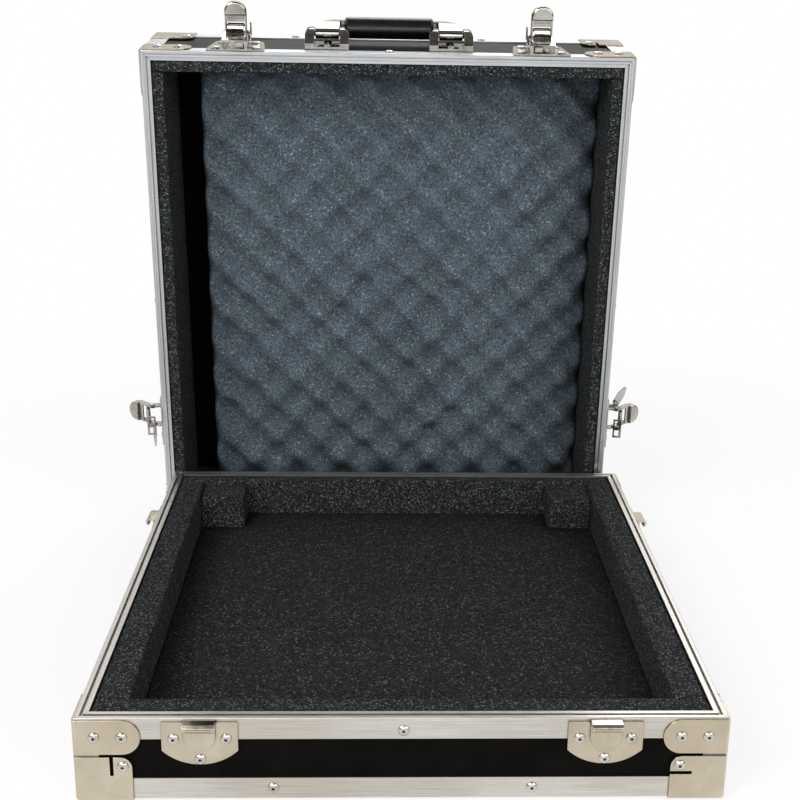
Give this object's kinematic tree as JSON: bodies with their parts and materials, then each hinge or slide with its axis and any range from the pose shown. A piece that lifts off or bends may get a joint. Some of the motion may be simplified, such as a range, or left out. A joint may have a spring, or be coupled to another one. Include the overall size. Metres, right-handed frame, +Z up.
{
  "type": "equipment case",
  "caption": "Mixer case: low foam-lined tray and deep lift-off lid with draw latches, aluminium edging, steel corners and a folding handle",
  "frame": {"origin": "on the floor, under the middle of the overall box of tray and standing lid", "axes": "+Z up, +X to the viewer's right across the case, +Y from the tray's front towards the standing lid"},
  "size_m": [0.5856, 0.6756, 0.584],
  "materials": {
    "laminate": "black laminate on plywood",
    "aluminium_edging": "satin anodised extrusion",
    "nickel_steel": "nickel-plated pressed steel",
    "rivet_steel": "zinc-plated blind rivet",
    "foam": "charcoal flecked open-cell foam",
    "egg_crate_foam": "grey-blue convoluted foam with pale flecks",
    "foot_rubber": "moulded black rubber",
    "grip_plastic": "moulded black grip"
  },
  "bodies": {
    "base": {"base_front_board": "laminate", "base_rear_board": "laminate", "base_left_board": "laminate", "base_right_board": "laminate", "base_floor_board": "laminate", "base_rim_profiles": "aluminium_edging", "base_edge_profiles": "aluminium_edging", "base_corner_angles": "aluminium_edging", "base_rim_corners": "nickel_steel", "base_low_corners": "nickel_steel", "base_feet": "foot_rubber", "base_foam_front": "foam", "base_foam_rear": "foam", "base_foam_left": "foam", "base_foam_right": "foam", "base_foam_block_left": "foam", "base_foam_block_right": "foam", "base_foam_floor": "foam", "catch_front_left": "nickel_steel", "catch_front_right": "nickel_steel", "catch_side_left": "nickel_steel", "catch_side_right": "nickel_steel", "base_rivets": "rivet_steel"},
    "lid": {"lid_left_board": "laminate", "lid_right_board": "laminate", "lid_carrying_board": "laminate", "lid_standing_board": "laminate", "lid_top_board": "laminate", "lid_rim_profiles": "aluminium_edging", "lid_edge_profiles": "aluminium_edging", "lid_corner_angles": "aluminium_edging", "lid_rim_corners": "nickel_steel", "lid_low_corners": "nickel_steel", "lid_feet": "foot_rubber", "lid_foam_carrying": "foam", "lid_foam_standing": "foam", "lid_foam_left": "foam", "lid_foam_right": "foam", "lid_egg_crate_foam": "egg_crate_foam", "latch_plate_top_left": "nickel_steel", "latch_plate_top_right": "nickel_steel", "latch_plate_side_left": "nickel_steel", "latch_plate_side_right": "nickel_steel", "latch_pivot_rivets": "rivet_steel", "handle_bracket_left": "nickel_steel", "handle_bracket_right": "nickel_steel", "handle_pins": "nickel_steel", "lid_rivets": "rivet_steel"},
    "handle": {"handle_bail": "nickel_steel", "handle_grip": "grip_plastic"},
    "lever_top_left": {"latch_lever_top_left": "nickel_steel"},
    "hook_top_left": {"latch_hook_top_left": "nickel_steel"},
    "lever_top_right": {"latch_lever_top_right": "nickel_steel"},
    "hook_top_right": {"latch_hook_top_right": "nickel_steel"},
    "lever_side_left": {"latch_lever_side_left": "nickel_steel"},
    "hook_side_left": {"latch_hook_side_left": "nickel_steel"},
    "lever_side_right": {"latch_lever_side_right": "nickel_steel"},
    "hook_side_right": {"latch_hook_side_right": "nickel_steel"}
  },
  "joints": [
    {"name": "lid_lift", "type": "slide", "parent": "base", "child": "lid", "axis": [0, 0, 1], "range_m": [0, 0.12]},
    {"name": "handle_swing", "type": "hinge", "parent": "lid", "child": "handle", "pos_m": [0, 0.20462, 0.55305], "axis": [1, 0, 0], "range_deg": [0, 88]},
    {"name": "lever_top_left_turn", "type": "hinge", "parent": "lid", "child": "lever_top_left", "pos_m": [-0.155, 0.18671, 0.55121], "axis": [-1, 0, 0], "range_deg": [-45, 90]},
    {"name": "hook_top_left_turn", "type": "hinge", "parent": "lever_top_left", "child": "hook_top_left", "pos_m": [-0.155, 0.18729, 0.56032], "axis": [-1, 0, 0], "range_deg": [-75.2, 37.85]},
    {"name": "lever_top_right_turn", "type": "hinge", "parent": "lid", "child": "lever_top_right", "pos_m": [0.155, 0.18671, 0.55121], "axis": [-1, 0, 0], "range_deg": [-45, 90]},
    {"name": "hook_top_right_turn", "type": "hinge", "parent": "lever_top_right", "child": "hook_top_right", "pos_m": [0.155, 0.18729, 0.56032], "axis": [-1, 0, 0], "range_deg": [-75.2, 37.85]},
    {"name": "lever_side_left_turn", "type": "hinge", "parent": "lid", "child": "lever_side_left", "pos_m": [-0.264, 0.22983, 0.13142], "axis": [0, 0.1022, -0.9948], "range_deg": [-84, 51]},
    {"name": "hook_side_left_turn", "type": "hinge", "parent": "lever_side_left", "child": "hook_side_left", "pos_m": [-0.27005, 0.23663, 0.13212], "axis": [0, 0.1022, -0.9948], "range_deg": [-42.83, 70.22]},
    {"name": "lever_side_right_turn", "type": "hinge", "parent": "lid", "child": "lever_side_right", "pos_m": [0.264, 0.22983, 0.13142], "axis": [0, -0.1022, 0.9948], "range_deg": [-84, 51]},
    {"name": "hook_side_right_turn", "type": "hinge", "parent": "lever_side_right", "child": "hook_side_right", "pos_m": [0.27005, 0.23663, 0.13212], "axis": [0, -0.1022, 0.9948], "range_deg": [-42.83, 70.22]}
  ],
  "couplings": [
    {"joint": "hook_top_left_turn", "follows": "lever_top_left_turn", "ratio": -0.83},
    {"joint": "hook_top_right_turn", "follows": "lever_top_right_turn", "ratio": -0.83},
    {"joint": "hook_side_left_turn", "follows": "lever_side_left_turn", "ratio": -0.83},
    {"joint": "hook_side_right_turn", "follows": "lever_side_right_turn", "ratio": -0.83}
  ]
}
